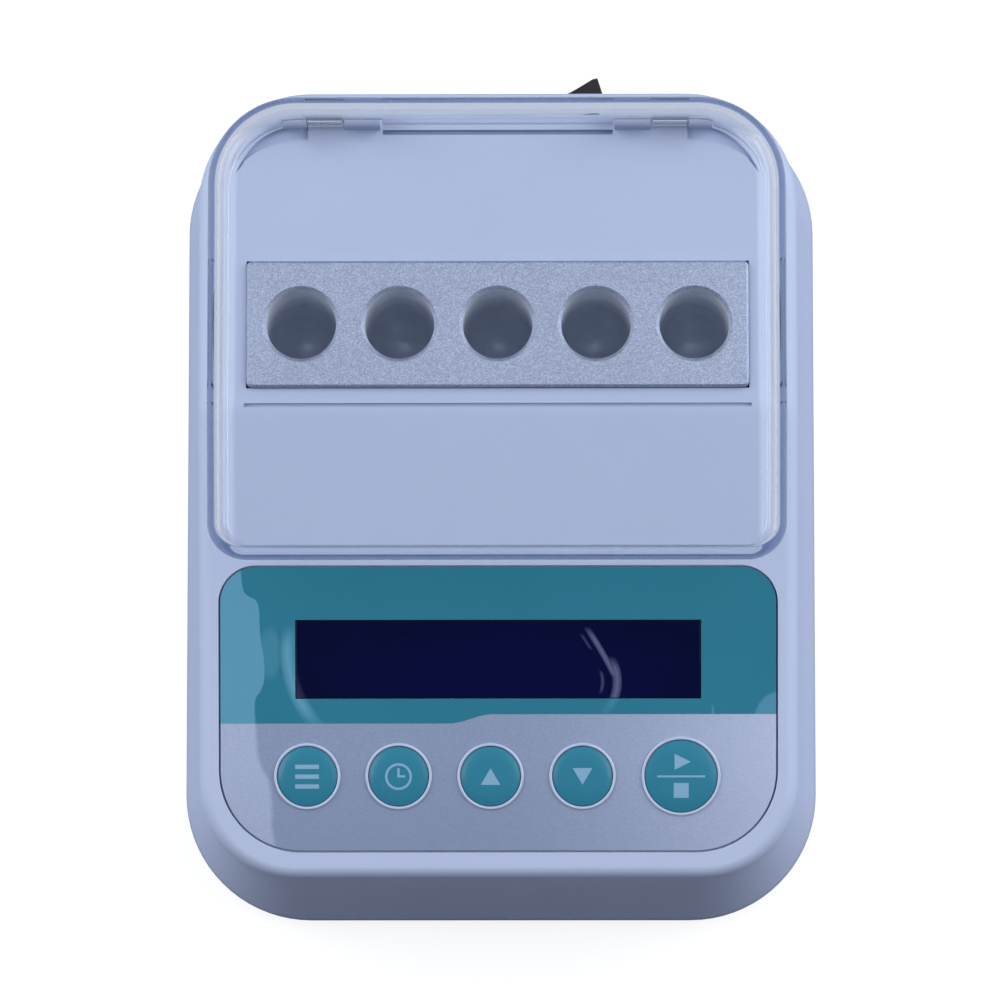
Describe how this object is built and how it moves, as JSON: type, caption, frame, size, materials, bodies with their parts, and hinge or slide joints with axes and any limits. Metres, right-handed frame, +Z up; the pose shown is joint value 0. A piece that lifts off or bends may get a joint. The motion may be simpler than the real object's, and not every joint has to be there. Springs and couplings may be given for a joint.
{
  "type": "biological indicator incubator",
  "caption": "Small bench block incubator with a clear hinged lid over a row of vial wells, a sloped panel with a display and round keys, and a rocker switch behind.",
  "frame": {"origin": "centre of the footprint, on the surface that the feet stand on", "axes": "+X to the user's right, +Y to the rear where the lid hinges, +Z up"},
  "size_m": [0.1096, 0.142, 0.078],
  "materials": {
    "casing_white": "fine satin",
    "tray_white": "satin",
    "clear_plastic": "polished clear plastic",
    "sandblasted_aluminium": "sandblasted",
    "steel": "plain",
    "overlay_film": "printed film, satin",
    "key_teal": "satin",
    "window_navy": "polished",
    "black_plastic": "plain",
    "rubber_black": "matte",
    "board_green": "solder mask",
    "heater_orange": "silicone",
    "foam_grey": "foam",
    "carrier_plastic": "plain",
    "lead_red": "insulation",
    "ribbon_grey": "insulation",
    "nickel": "plated"
  },
  "bodies": {
    "housing": {"upper_casing": "casing_white", "base_tray": "tray_white", "foot_1": "rubber_black", "foot_2": "rubber_black", "foot_3": "rubber_black", "foot_4": "rubber_black", "case_screw_1": "steel", "case_screw_2": "steel", "case_screw_3": "steel", "case_screw_4": "steel", "hinge_pin_left": "steel", "hinge_pin_right": "steel", "heating_block": "sandblasted_aluminium", "block_screw_left": "steel", "block_screw_right": "steel", "temperature_sensor": "nickel", "thermal_cutoff": "nickel", "heater_pad": "heater_orange", "block_carrier": "carrier_plastic", "insulation_sleeve": "foam_grey", "panel_overlay": "overlay_film", "display_window": "window_navy", "display_bezel": "steel", "display_glass": "window_navy", "menu_switch": "nickel", "timer_switch": "nickel", "up_switch": "nickel", "down_switch": "nickel", "start_switch": "nickel", "control_board": "board_green", "control_screw_left": "steel", "control_screw_right": "steel", "power_board": "board_green", "power_screw_left": "steel", "power_screw_right": "steel", "capacitor": "black_plastic", "buzzer": "black_plastic", "heat_sink": "black_plastic", "transistor": "carrier_plastic", "switch_housing": "black_plastic", "power_inlet": "black_plastic", "inlet_nut": "nickel", "inlet_lead": "lead_red", "switch_lead": "black_plastic", "sensor_lead": "lead_red", "cutoff_lead": "lead_red", "ribbon_cable": "ribbon_grey"},
    "lid": {"lid": "clear_plastic"},
    "menu_key": {"menu_key": "key_teal", "menu_plunger": "black_plastic"},
    "timer_key": {"timer_key": "key_teal", "timer_plunger": "black_plastic"},
    "up_key": {"up_key": "key_teal", "up_plunger": "black_plastic"},
    "down_key": {"down_key": "key_teal", "down_plunger": "black_plastic"},
    "start_key": {"start_key": "key_teal", "start_plunger": "black_plastic"},
    "rocker": {"rocker": "black_plastic"}
  },
  "joints": [
    {"name": "lid_hinge", "type": "hinge", "parent": "housing", "child": "lid", "pos_m": [0, 0.0615, 0.0613], "axis": [-1, 0, 0], "range_deg": [0, 105]},
    {"name": "menu_press", "type": "slide", "parent": "housing", "child": "menu_key", "axis": [0, 0.1564, -0.9877], "range_m": [0, 0.0005], "stiffness_N_per_m": 2000, "springref_m": -0.0002},
    {"name": "timer_press", "type": "slide", "parent": "housing", "child": "timer_key", "axis": [0, 0.1564, -0.9877], "range_m": [0, 0.0005], "stiffness_N_per_m": 2000, "springref_m": -0.0002},
    {"name": "up_press", "type": "slide", "parent": "housing", "child": "up_key", "axis": [0, 0.1564, -0.9877], "range_m": [0, 0.0005], "stiffness_N_per_m": 2000, "springref_m": -0.0002},
    {"name": "down_press", "type": "slide", "parent": "housing", "child": "down_key", "axis": [0, 0.1564, -0.9877], "range_m": [0, 0.0005], "stiffness_N_per_m": 2000, "springref_m": -0.0002},
    {"name": "start_press", "type": "slide", "parent": "housing", "child": "start_key", "axis": [0, 0.1564, -0.9877], "range_m": [0, 0.0005], "stiffness_N_per_m": 2000, "springref_m": -0.0002},
    {"name": "rocker_tilt", "type": "hinge", "parent": "housing", "child": "rocker", "pos_m": [0.0123, 0.06539, 0.04095], "axis": [0, 0.0534, -0.9986], "range_deg": [0, 24]}
  ]
}
